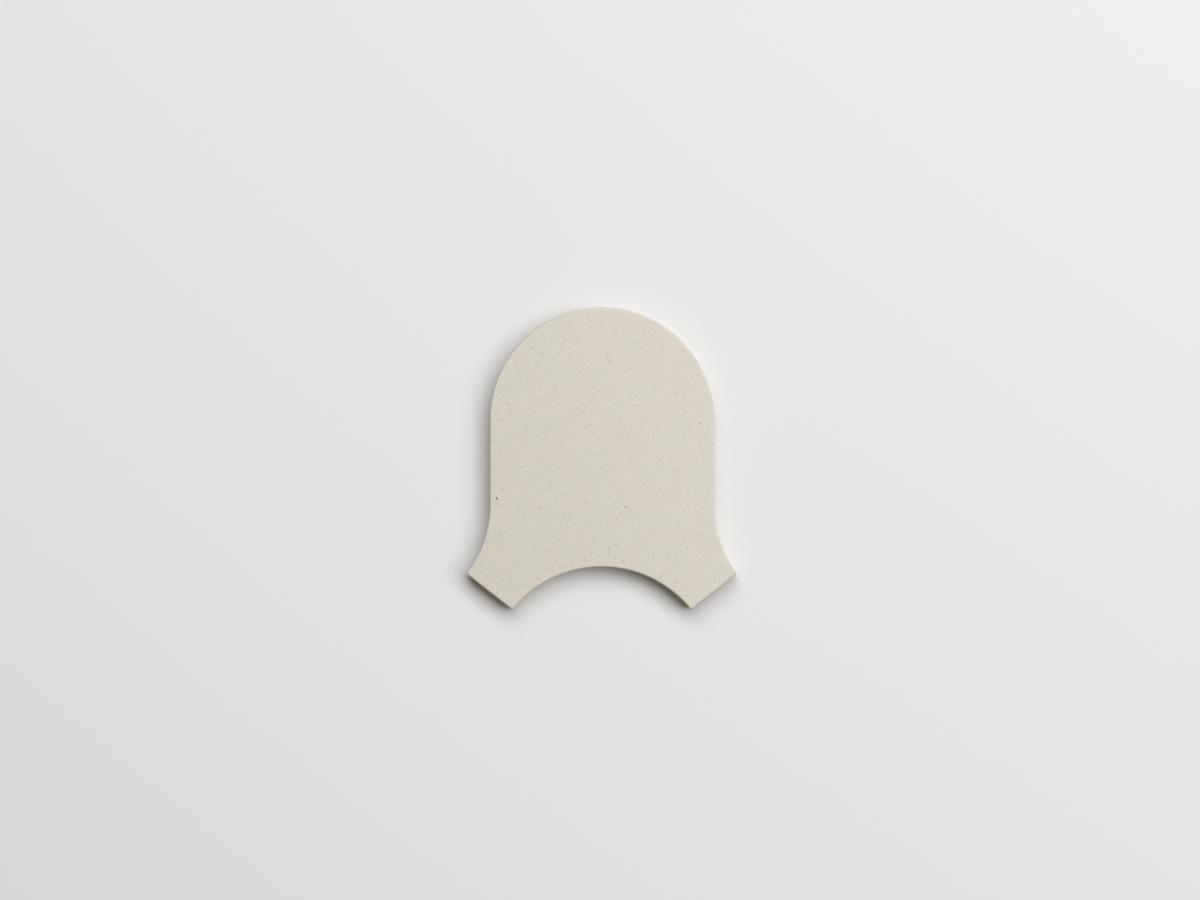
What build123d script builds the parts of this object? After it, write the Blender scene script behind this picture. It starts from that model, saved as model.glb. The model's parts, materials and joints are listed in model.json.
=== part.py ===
"""Nesting limestone tile: a domed body on two flared toes, with a round seat between them.

Laid in columns that point up and down in turn, each tile's seat and the flares of its two
neighbours close round the dome of the next tile in the column, with one even joint.
Millimetres. The back lies on Z = 0, +Y points from the seat to the dome, and the origin is
under the middle of the outline.
"""

import os
from math import asin, atan2, degrees, sqrt

from build123d import *

# Driving dimensions
body_width = 100.0  # across the straight sides, which is also the dome's diameter
side_length = 37.7  # straight side, from the end of the dome to the start of the flare
toe_length = 26.3  # straight cut across the end of each flare, before its corners are rounded
joint_width = 1.0  # even gap to every neighbouring tile
thickness = 10.0
arris_radius = 0.8  # eased edge all round the honed face
toe_corner_radius = 1.2  # where a toe meets the seat
tip_corner_radius = 0.9  # where a toe meets the outside of its flare

# Laying pattern: a flare and the seat each follow a neighbour's dome at one joint's distance,
# and a toe is cut along the line between the centres of those two circles.
dome_radius = body_width / 2
nest_radius = dome_radius + joint_width
column_pitch = body_width + joint_width
centre_distance = toe_length + 2 * nest_radius
toe_drop = sqrt(centre_distance**2 - column_pitch**2)
row_pitch = side_length + toe_drop
toe_angle = degrees(atan2(toe_drop, column_pitch))

# Turn by which both circles stop short of that line, half a joint back from it
set_back = degrees(asin(joint_width / 2 / nest_radius))

# Plan of the tile about the dome's centre, drawn as its right half and mirrored
with BuildSketch() as plan:
    with BuildLine():
        dome = CenterArc((0, 0), dome_radius, 0, 90)
        flare = CenterArc((column_pitch, -side_length), nest_radius, 180, toe_angle - set_back)
        seat = CenterArc((0, -row_pitch), nest_radius, 90, toe_angle + set_back - 90)
        Line(dome @ 0, flare @ 0)
        Line(flare @ 1, seat @ 1)
        mirror(about=Plane.YZ)
    make_face()
    fillet(plan.vertices().group_by(Axis.Y)[0], toe_corner_radius)
    fillet(plan.vertices().group_by(Axis.X)[0], tip_corner_radius)
    fillet(plan.vertices().group_by(Axis.X)[-1], tip_corner_radius)

# One slab of stone: the plan cut straight through the thickness, its honed face eased all round
middle = plan.sketch.bounding_box().center()
with BuildPart() as limestone_tile:
    with BuildSketch(Plane((0, -middle.Y, 0))):
        add(plan.sketch)
    extrude(amount=thickness)
    honed_face = limestone_tile.faces().sort_by(Axis.Z)[-1]
    fillet(honed_face.edges(), arris_radius)

limestone_tile.part.label = "limestone_tile"
os.makedirs("parts", exist_ok=True)
export_step(limestone_tile.part, "parts/limestone_tile.step")
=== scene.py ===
"""Looks of the limestone tile: honed face with specks and open pits, cut sides, lightly chipped arris.

Sizes are in millimetres, as the stone is measured.
They turn into metres where a mesh or a shader takes them.
"""

import json
import math
import random

import bpy
import numpy as np
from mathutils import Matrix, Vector, noise
from mathutils.geometry import delaunay_2d_cdt
from mathutils.kdtree import KDTree


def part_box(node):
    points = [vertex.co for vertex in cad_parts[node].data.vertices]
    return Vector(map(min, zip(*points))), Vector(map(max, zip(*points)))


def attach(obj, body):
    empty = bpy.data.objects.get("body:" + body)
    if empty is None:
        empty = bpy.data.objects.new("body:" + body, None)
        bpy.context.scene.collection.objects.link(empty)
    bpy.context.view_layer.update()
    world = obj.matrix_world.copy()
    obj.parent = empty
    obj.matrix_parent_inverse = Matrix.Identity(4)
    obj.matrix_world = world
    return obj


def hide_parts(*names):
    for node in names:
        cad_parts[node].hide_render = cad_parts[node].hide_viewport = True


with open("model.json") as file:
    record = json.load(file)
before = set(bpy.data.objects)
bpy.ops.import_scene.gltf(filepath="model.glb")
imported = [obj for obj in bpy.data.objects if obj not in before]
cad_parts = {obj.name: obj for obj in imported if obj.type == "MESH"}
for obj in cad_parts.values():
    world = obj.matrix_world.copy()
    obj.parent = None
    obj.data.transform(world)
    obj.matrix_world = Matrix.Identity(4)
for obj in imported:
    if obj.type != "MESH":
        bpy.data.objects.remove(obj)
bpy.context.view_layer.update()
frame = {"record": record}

MM = 0.001
NODE = "limestone_tile"
SEED = 7

# Outline of the tile, read from the frame where it holds the size
SIDE_LENGTH = 37.7
TOE_LENGTH = 26.3
JOINT_WIDTH = 1.0
TOE_CORNER_RADIUS = 1.2
TIP_CORNER_RADIUS = 0.9
ARRIS_RADIUS = 0.8
mounts = {mount["name"]: mount for mount in frame["record"]["mounts"]}
dome_radius = mounts["right_side"]["pos_m"][0] / MM
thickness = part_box(NODE)[1].z / MM

# Fineness of the mesh
OUTLINE_STEP = 0.25
SIDE_ROWS = 16
ARRIS_STEPS = 6
FACE_STEP = 1.0
BACK_STEP = 1.3
COLLARS = ((0.35, 2), (0.9, 4))  # inset from the arris, and how many outline points share one
FILL_INSIDE = 1  # makes the triangulation keep only what lies inside the ring
WELD = 1e-6
SHARP_ANGLE = 40.0

# Marks of the cutter on the sides
MARK_WAVES = 36
MARK_SPACING = (0.7, 4.0)
MARK_DEPTH = 0.09
MARK_DRAG = 1.6
MARK_ONSET = 3.0  # how fast the marks set in below the arris
MARK_TOP_SHARE = 0.4  # depth of the marks near the arris, as a share of that at the back
SIDE_GRAIN_DEPTH = 0.03
SIDE_GRAIN_SIZE = 0.5

# Broken edge and marks of the saw at the back
BACK_BREAK = 0.12
SAW_WAVES = 7
SAW_SPACING = (3.0, 9.0)
SAW_DEPTH = 0.06
SAW_TURN = 12.0
SAW_SPAN = 4.0  # half lengths of the tile after which the saw's marks repeat

# Open pits seen in the photograph: place, radius, depth, stretch of the long axis, and its turn
SEEN_PITS = (
    ((-46.9, -18.0), 0.42, 0.30, 1.8, 120),
    ((10.7, -22.0), 0.38, 0.22, 1.2, 60),
    ((43.9, 15.2), 0.40, 0.15, 1.3, 20),
    ((-26.9, 46.2), 0.34, 0.15, 1.2, 90),
    ((28.4, -25.8), 0.40, 0.07, 1.1, 0),
    ((55.4, -51.3), 0.36, 0.12, 1.4, 45),
)
SMALL_PITS = 30
SMALL_PIT_RADIUS = (0.14, 0.28)
SMALL_PIT_DEPTH = (0.03, 0.08)
SMALL_PIT_STRETCH = (1.0, 1.6)
PIT_EDGE_ROOM = 2.2
# Pits get painted shade, darker the deeper the pit; this depth gives the darkest.
PIT_SHADE_DEPTH = 0.32  # depth at which a pit is as dark as it gets

# Tan specks seen in the photograph, with their radius
SEEN_SPECKS = (
    ((-36.1, 35.9), 0.50),
    ((-9.7, 38.3), 0.45),
    ((-19.8, 27.9), 0.45),
    ((-42.3, 24.2), 0.55),
    ((3.2, 43.1), 0.50),
    ((-5.2, 14.8), 0.45),
    ((8.9, 9.6), 0.40),
    ((-14.2, -24.6), 0.55),
    ((-19.8, -45.7), 0.50),
    ((-44.1, -41.4), 0.40),
    ((-40.5, -45.3), 0.40),
    ((-52.0, -52.5), 0.45),
    ((34.0, -43.0), 0.50),
    ((38.4, -40.2), 0.45),
    ((9.7, -46.1), 0.45),
)
SPECK_STRETCH = (1.0, 1.3)

# Rings of a pit or speck, from the rim in: shares of its radius, depth and tint; a pit's tint is painted
# shade
PIT_RINGS = ((1.3, 0.0, 0.0), (1.0, 0.1, 0.4), (0.75, 0.6, 1.0), (0.4, 0.95, 1.0), (0.0, 1.0, 1.0))
SPECK_RINGS = ((1.0, 0.0, 0.0), (0.6, 0.0, 0.9), (0.0, 0.0, 1.0))
SPOKES = 12
FINE_SPOKES = 8
FINE_RADIUS = 0.3  # below this radius a spot has the fewer spokes
RIM_UNEVEN = (0.8, 1.15)
SPOT_REACH = 1.4  # room that a spot takes up, as a share of its radius
SPOT_GAP = 1.0
LATTICE_GAP = 0.1

# Nicks along the arris: radius of the scoop, how deep it bites, and how far it leans up
NICKS = 26
NICK_RADIUS = (0.9, 2.4)
NICK_BITE = (0.05, 0.20)
NICK_LEAN = (25, 65)
TIP_NICK_RADIUS = 2.6
TIP_NICK_BITE = 0.45
TIP_NICK_LEAN = 35

# Colours of the stone
WARM = (0.698, 0.636, 0.541)
COOL = (0.652, 0.635, 0.575)
TAN = (0.52, 0.39, 0.22)
BROWN = (0.40, 0.32, 0.21)
PALE = (0.84, 0.82, 0.77)
# Painted shade inside the pits, laid on more strongly the deeper the pit.
PIT_SHADE = (0.20, 0.165, 0.125)
SAWN_TINT = (0.76, 0.69, 0.62)
SAWN_FADE = 3.0  # depth below the honed face over which the cut sides take that tint
SPECK_STRENGTH = 0.72
FRESH_STRENGTH = 0.30

# Clouds and tone of the stone, with painted light across the slab
CLOUD_SIZE = 4.0
CLOUD_DETAIL = 3.0
CLOUD_RANGE = (0.05, 0.95)
MOTTLE_SIZE = 6.0
GRAIN_SIZE = 0.62
DUST_SIZE = 0.33
TONE = 0.630  # what mottle, grain and dust add to
MOTTLE_SHARE = 0.05
GRAIN_SHARE = 0.45
DUST_SHARE = 0.26
# Painted light: the tone rises across the slab toward the softbox's side at the right, as if that side
# were lit more.
PAINTED_LIGHT_DRIFT = (0.0006, 0.0002, 0.0)  # rise of the tone for each millimetre across the slab

# Scattered grains: spacing, largest radius and strength
PALE_FLECKS = (1.9, 0.40, 0.45)
TAN_GRAINS = (3.4, 0.72, 0.36)
BROWN_GRAINS = (1.4, 0.27, 0.42)
GRAIN_EDGE = (-0.25, 0.15)  # where the edge of a grain fades, as shares of its radius
RAGGED_SIZE = 0.35
RAGGED_REACH = 0.3

# Finish of the stone
ROUGHNESS = 0.50
GRAIN_ROUGHNESS = 0.16
SAWN_ROUGHNESS = 0.22
SPECULAR = 0.35
BUMP = 0.15
SAWN_BUMP = 0.55
BUMP_DEPTH = 0.06
DUST_RELIEF = 0.4

# Camera: straight down, framed on the photograph
PHOTO_WIDTH = 535.27
PHOTO_CENTRE = (-0.755, 3.628)
LENS = 100.0
SENSOR = 36.0

# Studio: one long softbox at the upper right, over a pale floor
FLOOR_SIZE = 12000.0
FLOOR_COLOUR = (0.835, 0.835, 0.835)
FLOOR_BOUNCE = (0.50, 0.50, 0.50)
BOX_AZIMUTH = 52.0
BOX_HEIGHT = 61.5
BOX_DISTANCE = 2400.0
BOX_LENGTH = 4600.0
BOX_WIDTH = 1700.0
BOX_POWER = 82.5
BOX_COLOUR = (0.988, 1.0, 1.01)
FILL_LEVEL = 0.168
FILL_COLOUR = (1.0, 0.89, 0.77)

rng = random.Random(SEED)


def bearing(vector):
    """Direction of a plane vector, in degrees."""
    return math.degrees(math.atan2(vector[1], vector[0]))


def arc(centre, radius, start, end, side):
    """Points along an arc and their directions out of the stone, which fills it (side 1) or not (-1)."""
    steps = max(3, round(radius * math.radians(abs(end - start)) / OUTLINE_STEP))
    turn = np.radians(np.linspace(start, end, steps, endpoint=False))
    spoke = np.c_[np.cos(turn), np.sin(turn)]
    return np.c_[centre + radius * spoke, side * spoke]


def straight(start, end):
    """Points along a straight stretch, clockwise, and their direction out of the stone."""
    run = end - start
    length = math.hypot(*run)
    share = np.linspace(0, 1, round(length / OUTLINE_STEP), endpoint=False)[:, None]
    out = np.array([-run[1], run[0]]) / length
    return np.c_[start + share * run, np.repeat(out[None], len(share), axis=0)]


def corner(toe, along, out, hollow, hollow_radius, radius):
    """Centre of the rounding between a toe's cut, which runs along from toe, and a hollow."""
    base = toe - out * radius
    offset = base - hollow
    ahead = offset @ along
    run = -ahead - math.sqrt(ahead**2 - offset @ offset + (hollow_radius + radius) ** 2)
    return base + along * run


def outline():
    """The tile's edge, clockwise from the crown: x, y and the direction out of the stone."""
    nest = dome_radius + JOINT_WIDTH
    pitch = 2 * dome_radius + JOINT_WIDTH
    reach = TOE_LENGTH + 2 * nest
    drop = math.sqrt(reach**2 - pitch**2)
    dome = np.zeros(2)
    flare = dome + (pitch, -SIDE_LENGTH)
    seat = dome - (0, SIDE_LENGTH + drop)
    along = np.array([pitch, drop]) / reach
    out = np.array([drop, -pitch]) / reach
    toe = (seat + flare) / 2 - out * JOINT_WIDTH / 2
    tip = corner(toe, along, out, flare, nest, TIP_CORNER_RADIUS)
    heel = corner(toe, -along, out, seat, nest, TOE_CORNER_RADIUS)
    right = np.concatenate(
        [
            arc(dome, dome_radius, 90, 0, 1),
            straight(dome + (dome_radius, 0), dome + (dome_radius, -SIDE_LENGTH)),
            arc(flare, nest, 180, 360 + bearing(tip - flare), -1),
            arc(tip, TIP_CORNER_RADIUS, bearing(flare - tip), bearing(out), 1),
            straight(tip + out * TIP_CORNER_RADIUS, heel + out * TOE_CORNER_RADIUS),
            arc(heel, TOE_CORNER_RADIUS, bearing(out), bearing(seat - heel), 1),
            arc(seat, nest, bearing(heel - seat), 90, -1),
        ]
    )
    seat_crown = np.array([[0.0, seat[1] + nest, 0.0, -1.0]])
    left = right[:0:-1] * (-1, 1, -1, 1)
    edge = np.concatenate([right, seat_crown, left])
    edge[:, 1] -= (edge[:, 1].max() + edge[:, 1].min()) / 2
    return edge


def edge_profile():
    """Inset and height of each row of points up the edge, from the back to the honed face."""
    side_top = thickness - ARRIS_RADIUS
    rows = [(BACK_BREAK, 0.0)]
    rows += [(0.0, height) for height in np.linspace(BACK_BREAK, side_top, SIDE_ROWS)]
    for turn in np.radians(np.linspace(0, 90, ARRIS_STEPS + 1)[1:]):
        rows.append((ARRIS_RADIUS * (1 - math.cos(turn)), side_top + ARRIS_RADIUS * math.sin(turn)))
    return rows


class Waves:
    """A sum of waves of random spacing and phase, from 0 to 1, that closes on itself after a length."""

    def __init__(self, count, spacing, length):
        self.turns = np.array([round(length / rng.uniform(*spacing)) for _ in range(count)])
        self.phases = np.array([rng.uniform(0, math.tau) for _ in range(count)])
        self.length = length

    def __call__(self, along):
        angle = np.multiply.outer(along, self.turns) * math.tau / self.length + self.phases
        return 0.5 + 0.5 * np.tanh(np.cos(angle).sum(axis=-1) / math.sqrt(len(self.turns)))


def edge_rows(edge):
    """Rows of points round the edge, cut straight down, with the cutter's marks trailing behind it."""
    step = np.hypot(*np.diff(edge[:, :2], axis=0, append=edge[:1, :2]).T)
    along = np.cumsum(step) - step
    marks = Waves(MARK_WAVES, MARK_SPACING, step.sum())
    side_top = thickness - ARRIS_RADIUS
    rows = []
    for inset, height in edge_profile():
        depth = np.full(len(edge), inset)
        if height < side_top:
            below = 1 - height / side_top
            onset = min(1, MARK_ONSET * below)
            strength = MARK_TOP_SHARE + (1 - MARK_TOP_SHARE) * below
            trail = along + MARK_DRAG * below**2
            depth += MARK_DEPTH * onset * strength * marks(trail)
            grain = [noise.noise(Vector((x, y, height)) / SIDE_GRAIN_SIZE) for x, y in edge[:, :2]]
            depth += SIDE_GRAIN_DEPTH * onset * (0.5 + 0.5 * np.array(grain))
        flat = edge[:, :2] - edge[:, 2:] * depth[:, None]
        rows.append(np.c_[flat, np.full(len(edge), height)])
    return rows


class Border:
    """Tells how far inside the tile's outline a point lies."""

    def __init__(self, edge):
        self.edge = edge
        self.half_width, self.half_length = edge[:, :2].max(axis=0)
        self.tree = KDTree(len(edge))
        for index, (x, y, _, _) in enumerate(edge):
            self.tree.insert((x, y, 0), index)
        self.tree.balance()

    def inside(self, x, y):
        """Distance in from the outline, less than nothing outside it."""
        _, index, gap = self.tree.find((x, y, 0))
        edge_x, edge_y, out_x, out_y = self.edge[index]
        return gap if (edge_x - x) * out_x + (edge_y - y) * out_y > 0 else -gap


def lattice(border, step, room):
    """Points of a triangular lattice, at least room inside the outline."""
    points = []
    rows = np.arange(-border.half_length, border.half_length, step * math.sqrt(0.75))
    for row, y in enumerate(rows):
        for x in np.arange(-border.half_width + step / 2 * (row % 2), border.half_width, step):
            if border.inside(x, y) > room:
                points.append((x, y))
    return points


class Spots:
    """The pits and specks of the honed face, as rings of points with their depth and tint, which in a pit
    is painted shade.
    """

    def __init__(self):
        self.taken = []
        self.points = []  # x, y, depth, pit, speck

    def clear_of(self, x, y, room):
        """Whether a place has that much room from every spot so far."""
        return all(math.hypot(x - a, y - b) > room + size for a, b, size in self.taken)

    def add(self, place, radius, stretch, turn, rings, depth, tint):
        """Adds a spot with an uneven rim."""
        self.taken.append((*place, SPOT_REACH * radius * stretch))
        spokes = FINE_SPOKES if radius < FINE_RADIUS else SPOKES
        uneven = [rng.uniform(*RIM_UNEVEN) for _ in range(spokes)]
        lean = math.radians(turn)
        for share, down, strength in rings:
            for spoke in range(spokes if share else 1):
                angle = math.tau * spoke / spokes
                reach = radius * share * uneven[spoke]
                a = reach * stretch * math.cos(angle)
                b = reach * math.sin(angle)
                x = place[0] + a * math.cos(lean) - b * math.sin(lean)
                y = place[1] + a * math.sin(lean) + b * math.cos(lean)
                self.points.append((x, y, depth * down, *(strength * part for part in tint)))


def face_spots(border):
    """The pits and specks seen in the photograph, and small pits scattered between them."""
    spots = Spots()
    for place, radius, depth, stretch, turn in SEEN_PITS:
        # A pit's painted shade grows with its depth.
        spots.add(place, radius, stretch, turn, PIT_RINGS, depth, (depth / PIT_SHADE_DEPTH, 0))
    for place, radius in SEEN_SPECKS:
        stretch, turn = rng.uniform(*SPECK_STRETCH), rng.uniform(0, 180)
        spots.add(place, radius, stretch, turn, SPECK_RINGS, 0, (0, 1))
    count = len(spots.taken) + SMALL_PITS
    while len(spots.taken) < count:
        x = rng.uniform(-1, 1) * border.half_width
        y = rng.uniform(-1, 1) * border.half_length
        radius, depth = rng.uniform(*SMALL_PIT_RADIUS), rng.uniform(*SMALL_PIT_DEPTH)
        if border.inside(x, y) > PIT_EDGE_ROOM and spots.clear_of(x, y, SPOT_GAP):
            stretch, turn = rng.uniform(*SMALL_PIT_STRETCH), rng.uniform(0, 180)
            # Painted shade in the small pits, growing with their depth.
            spots.add((x, y), radius, stretch, turn, PIT_RINGS, depth, (depth / PIT_SHADE_DEPTH, 0))
    return spots


def fill(ring, inner):
    """Triangles that fill a closed ring and take in the inner points, as indices into both in turn."""
    points = [Vector(point[:2]) for point in (*ring, *inner)]
    edges = [(index, (index + 1) % len(ring)) for index in range(len(ring))]
    _, _, faces, sources, _, _ = delaunay_2d_cdt(points, edges, [], FILL_INSIDE, WELD)
    return [[sources[vertex][0] for vertex in face] for face in faces]


def honed_face(edge, border):
    """Inner points of the honed face: x, y, depth, painted shade of the pits, and speck."""
    spots = face_spots(border)
    points = list(spots.points)
    for inset, share in COLLARS:
        ring = edge[::share]
        places = ring[:, :2] - ring[:, 2:] * (ARRIS_RADIUS + inset)
        points += [(x, y, 0, 0, 0) for x, y in places]
    room = ARRIS_RADIUS + COLLARS[-1][0] + FACE_STEP / 2
    places = lattice(border, FACE_STEP, room)
    points += [(x, y, 0, 0, 0) for x, y in places if spots.clear_of(x, y, LATTICE_GAP)]
    return np.array(points)


def sawn_back(border):
    """Inner points of the back, with the saw's shallow ridges running across it."""
    saw = Waves(SAW_WAVES, SAW_SPACING, SAW_SPAN * border.half_length)
    lean = math.radians(SAW_TURN)
    points = np.array(lattice(border, BACK_STEP, BACK_STEP))
    across = points @ (math.cos(lean), math.sin(lean))
    return np.c_[points, SAW_DEPTH * saw(across)]


def nick(points, centre, radius):
    """Scoops a ball out of the points, and tells which of them it moved."""
    away = points - centre
    gap = np.linalg.norm(away, axis=1)
    hit = gap < radius
    points[hit] = centre + away[hit] * (radius / gap[hit])[:, None]
    return hit


def nick_arris(points, edge):
    """Small scoops along the arris and a larger one at the right tip. Tells which points are fresh."""
    fresh = np.zeros(len(points))
    right_tip = int(np.argmax(edge[:, 0]))
    scoops = [(right_tip, TIP_NICK_RADIUS, TIP_NICK_BITE, TIP_NICK_LEAN)]
    for _ in range(NICKS):
        place = rng.randrange(len(edge))
        scoops.append((place, rng.uniform(*NICK_RADIUS), rng.uniform(*NICK_BITE), rng.uniform(*NICK_LEAN)))
    for place, radius, bite, lean in scoops:
        turn = math.radians(lean)
        out = np.array([*(edge[place, 2:] * math.cos(turn)), math.sin(turn)])
        inset = edge[place, :2] - edge[place, 2:] * ARRIS_RADIUS
        heart = np.array([*inset, thickness - ARRIS_RADIUS])
        fresh[nick(points, heart + out * (ARRIS_RADIUS + radius - bite), radius)] = 1
    return fresh


def tile_mesh():
    """One closed mesh: the rows up the edge, filled at the back and the honed face."""
    edge = outline()
    border = Border(edge)
    rows = edge_rows(edge)
    around = len(edge)
    face = honed_face(edge, border)
    back = sawn_back(border)
    face_start = around * len(rows)
    back_start = face_start + len(face)
    face_points = np.c_[face[:, :2], thickness - face[:, 2]]
    points = np.concatenate([*rows, face_points, back])

    faces = []
    for row in range(len(rows) - 1):
        low, high = row * around, (row + 1) * around
        for here in range(around):
            ahead = (here + 1) % around
            faces.append((low + ahead, low + here, high + here, high + ahead))
    top = (len(rows) - 1) * around
    for corners in fill(rows[-1], face):
        faces.append([top + c if c < around else face_start + c - around for c in corners])
    for corners in fill(rows[0], back):
        faces.append([c if c < around else back_start + c - around for c in reversed(corners)])

    tints = {name: np.zeros(len(points)) for name in ("pit", "speck", "sawn")}
    # Painted shade of the pits.
    tints["pit"][face_start:back_start] = face[:, 3]
    tints["speck"][face_start:back_start] = face[:, 4]
    below = thickness - np.concatenate(rows)[:, 2]
    tints["sawn"][:face_start] = np.clip(below / SAWN_FADE, 0, 1)
    tints["sawn"][back_start:] = 1
    tints["fresh"] = nick_arris(points, edge)

    mesh = bpy.data.meshes.new("limestone_slab")
    mesh.from_pydata((points * MM).tolist(), [], faces)
    mesh.shade_smooth()
    mesh.set_sharp_from_angle(angle=math.radians(SHARP_ANGLE))
    for name, values in tints.items():
        mesh.attributes.new(name, "FLOAT", "POINT").data.foreach_set("value", values)
    return mesh


class Nodes:
    """Short ways to add shader nodes to a tree. Inputs are values, or sockets of other nodes."""

    def __init__(self, tree):
        self.tree = tree
        tree.nodes.clear()

    def add(self, kind, inputs=None, **settings):
        made = self.tree.nodes.new("ShaderNode" + kind)
        for name, value in settings.items():
            setattr(made, name, value)
        for key, value in (inputs or {}).items():
            if isinstance(value, bpy.types.NodeSocket):
                self.tree.links.new(value, made.inputs[key])
            else:
                made.inputs[key].default_value = value
        return made

    def maths(self, operation, *values):
        return self.add("Math", dict(enumerate(values)), operation=operation).outputs[0]

    def vector(self, operation, inputs, output="Vector"):
        return self.add("VectorMath", inputs, operation=operation).outputs[output]

    def noise(self, place, size, detail=2.0):
        inputs = {"Vector": place, "Scale": 1 / size, "Detail": detail, "Roughness": 0.6}
        return self.add("TexNoise", inputs).outputs[0]

    def ramp(self, value, start, end, low=0.0, high=1.0):
        inputs = {0: value, 1: start, 2: end, 3: low, 4: high}
        return self.add("MapRange", inputs, interpolation_type="SMOOTHSTEP").outputs[0]

    def mix(self, share, first, second, mode="MIX"):
        """Mixes two colours, which are the node's sockets 6 and 7."""
        pair = [(*c, 1) if isinstance(c, tuple) else c for c in (first, second)]
        inputs = {0: share, 6: pair[0], 7: pair[1]}
        return self.add("Mix", inputs, data_type="RGBA", blend_type=mode).outputs[2]

    def attribute(self, name):
        return self.add("Attribute", attribute_name=name).outputs["Fac"]

    def seen(self):
        """1 where a surface is looked at, straight on, in a reflection or through glass."""
        rays = self.add("LightPath").outputs
        mirrored = self.maths("MAXIMUM", rays["Is Glossy Ray"], rays["Is Transmission Ray"])
        return self.maths("MAXIMUM", rays["Is Camera Ray"], mirrored)

    def grains(self, place, cell, radius, strength):
        """Scattered grains of uneven size, one to a cell at most, and a random value for each."""
        cells = self.add("TexVoronoi", {"Vector": place, "Scale": 1 / cell})
        random_value = self.add("SeparateColor", {0: cells.outputs["Color"]}).outputs[0]
        size = self.maths("MULTIPLY", random_value, radius / cell)
        gap = self.maths("SUBTRACT", cells.outputs["Distance"], size)
        start, end = (share * radius / cell for share in GRAIN_EDGE)
        return self.ramp(gap, start, end, strength, 0.0), random_value


def limestone():
    """Fine-grained limestone: faint warm and cool clouds, grain, tan and brown specks, pale flecks."""
    material = bpy.data.materials.new("limestone")
    material.use_nodes = True
    nodes = Nodes(material.node_tree)
    metres = nodes.add("TexCoord").outputs["Object"]
    place = nodes.vector("SCALE", {0: metres, "Scale": 1 / MM})
    pit, speck = nodes.attribute("pit"), nodes.attribute("speck")
    sawn, fresh = nodes.attribute("sawn"), nodes.attribute("fresh")

    cloud = nodes.noise(place, CLOUD_SIZE, CLOUD_DETAIL)
    mottle = nodes.noise(place, MOTTLE_SIZE, 1.0)
    grain = nodes.noise(place, GRAIN_SIZE, 1.0)
    dust = nodes.noise(place, DUST_SIZE, 0.0)
    colour = nodes.mix(nodes.ramp(cloud, *CLOUD_RANGE), COOL, WARM)
    # Painted light: the face grows lighter toward the softbox's side at the right.
    painted_light = nodes.vector("DOT_PRODUCT", {0: place, 1: PAINTED_LIGHT_DRIFT}, "Value")
    tone = nodes.maths("ADD", painted_light, TONE)
    for part, share in ((mottle, MOTTLE_SHARE), (grain, GRAIN_SHARE), (dust, DUST_SHARE)):
        tone = nodes.maths("MULTIPLY_ADD", part, share, tone)
    colour = nodes.vector("SCALE", {0: colour, "Scale": tone})

    wander = nodes.add("TexNoise", {"Vector": place, "Scale": 1 / RAGGED_SIZE}).outputs["Color"]
    ragged = nodes.vector("MULTIPLY_ADD", {0: wander, 1: (RAGGED_REACH,) * 3, 2: place})
    flecks, _ = nodes.grains(ragged, *PALE_FLECKS)
    colour = nodes.mix(flecks, colour, PALE)
    tans, hue = nodes.grains(ragged, *TAN_GRAINS)
    colour = nodes.mix(tans, colour, nodes.mix(hue, BROWN, TAN))
    browns, _ = nodes.grains(ragged, *BROWN_GRAINS)
    colour = nodes.mix(browns, colour, BROWN)

    colour = nodes.mix(nodes.maths("MULTIPLY", speck, SPECK_STRENGTH), colour, TAN)
    colour = nodes.mix(sawn, colour, SAWN_TINT, "MULTIPLY")
    colour = nodes.mix(nodes.maths("MULTIPLY", fresh, FRESH_STRENGTH), colour, PALE)
    # Painted shade in the pits.
    colour = nodes.mix(pit, colour, PIT_SHADE)

    rough = nodes.maths("MULTIPLY_ADD", grain, GRAIN_ROUGHNESS, ROUGHNESS)
    rough = nodes.maths("MULTIPLY_ADD", sawn, SAWN_ROUGHNESS, rough)
    relief = nodes.maths("MULTIPLY_ADD", dust, DUST_RELIEF, grain)
    coarse = nodes.maths("MULTIPLY_ADD", sawn, SAWN_BUMP, BUMP)
    bump = nodes.add("Bump", {"Strength": coarse, "Distance": BUMP_DEPTH * MM, "Height": relief})
    stone = {
        "Base Color": colour,
        "Roughness": rough,
        "Normal": bump.outputs[0],
        "Specular IOR Level": SPECULAR,
    }
    surface = nodes.add("BsdfPrincipled", stone)
    nodes.add("OutputMaterial", {"Surface": surface.outputs[0]})
    return material


def tile():
    """The tile, in place of its plain node."""
    piece = bpy.data.objects.new("limestone_slab", tile_mesh())
    bpy.context.scene.collection.objects.link(piece)
    piece.data.materials.append(limestone())
    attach(piece, "root")
    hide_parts(NODE)


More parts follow.
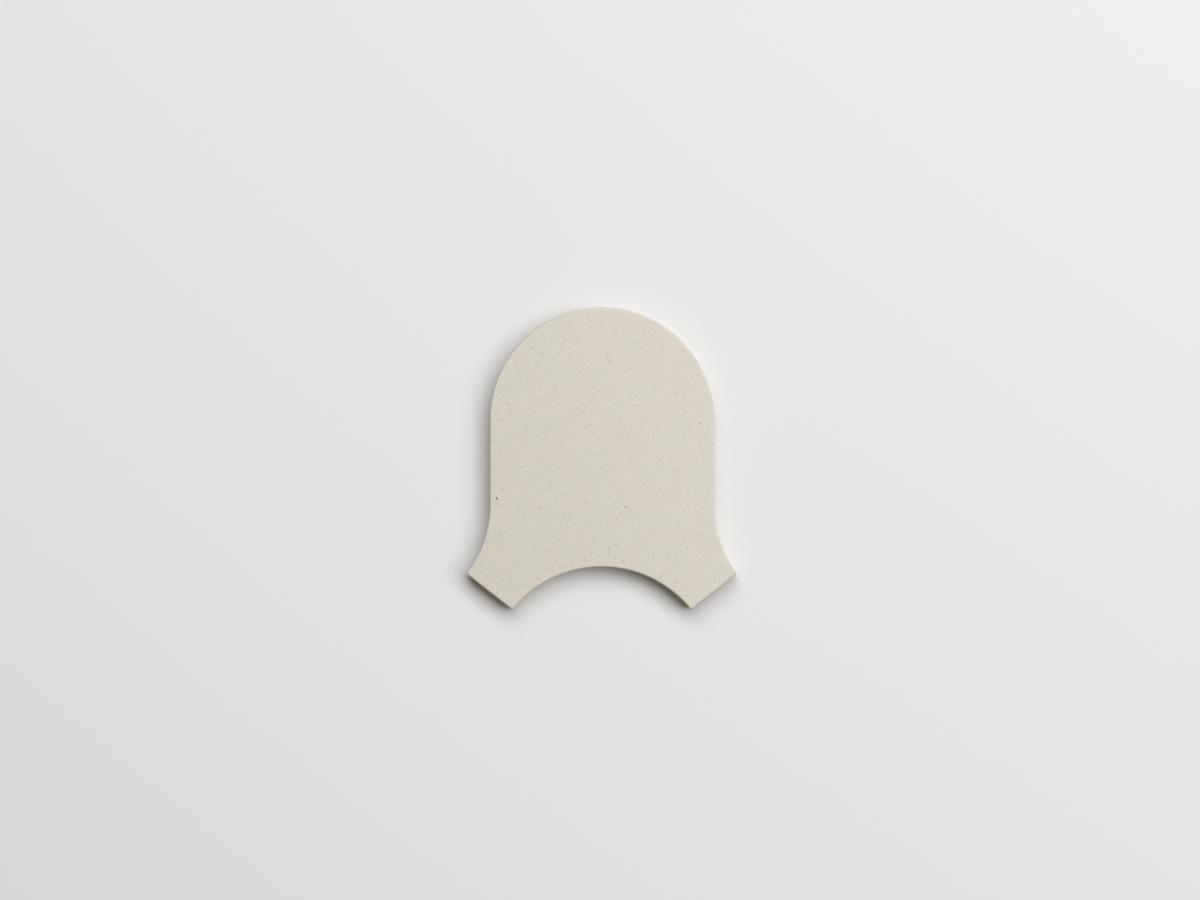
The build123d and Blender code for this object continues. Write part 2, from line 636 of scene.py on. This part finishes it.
def floor():
    """A wide pale board, which gives back less light than it shows."""
    half = FLOOR_SIZE / 2 * MM
    corners = [(-half, -half, 0), (half, -half, 0), (half, half, 0), (-half, half, 0)]
    mesh = bpy.data.meshes.new("studio_floor")
    mesh.from_pydata(corners, [], [(0, 1, 2, 3)])
    board = bpy.data.objects.new("studio_floor", mesh)
    bpy.context.scene.collection.objects.link(board)
    material = bpy.data.materials.new("pale_board")
    material.use_nodes = True
    nodes = Nodes(material.node_tree)
    surface = nodes.add("BsdfDiffuse", {"Color": nodes.mix(nodes.seen(), FLOOR_BOUNCE, FLOOR_COLOUR)})
    nodes.add("OutputMaterial", {"Surface": surface.outputs[0]})
    mesh.materials.append(material)


def softbox():
    """A long softbox, level and facing the tile."""
    turn, rise = math.radians(BOX_AZIMUTH), math.radians(BOX_HEIGHT)
    toward = Vector((math.cos(turn) * math.cos(rise), math.sin(turn) * math.cos(rise), math.sin(rise)))
    lamp = bpy.data.lights.new("softbox", "AREA")
    lamp.shape = "RECTANGLE"
    lamp.size = BOX_LENGTH * MM
    lamp.size_y = BOX_WIDTH * MM
    lamp.energy = BOX_POWER
    lamp.color = BOX_COLOUR
    box = bpy.data.objects.new("softbox", lamp)
    box.location = toward * BOX_DISTANCE * MM
    box.rotation_mode = "QUATERNION"
    box.rotation_quaternion = toward.to_track_quat("Z", "Y")
    box.visible_camera = False
    bpy.context.scene.collection.objects.link(box)


def surroundings():
    """A pale backdrop that gives a little warm fill."""
    world = bpy.data.worlds.new("studio")
    bpy.context.scene.world = world
    world.use_nodes = True
    nodes = Nodes(world.node_tree)
    fill_light = nodes.add("Background", {"Color": (*FILL_COLOUR, 1), "Strength": FILL_LEVEL})
    backdrop = nodes.add("Background", {"Color": (*FLOOR_COLOUR, 1)})
    sky = nodes.add("MixShader", {0: nodes.seen(), 1: fill_light.outputs[0], 2: backdrop.outputs[0]})
    nodes.add("OutputWorld", {"Surface": sky.outputs[0]})


def camera():
    """Straight down, with the photograph's framing at the honed face."""
    data = bpy.data.cameras.new("camera")
    data.lens = LENS
    data.sensor_width = SENSOR
    eye = bpy.data.objects.new("camera", data)
    eye.location = Vector((*PHOTO_CENTRE, thickness + PHOTO_WIDTH * LENS / SENSOR)) * MM
    bpy.context.scene.collection.objects.link(eye)
    bpy.context.scene.camera = eye


tile()
floor()
softbox()
surroundings()
camera()
bpy.context.scene.view_settings.view_transform = "Standard"

bpy.context.view_layer.update()
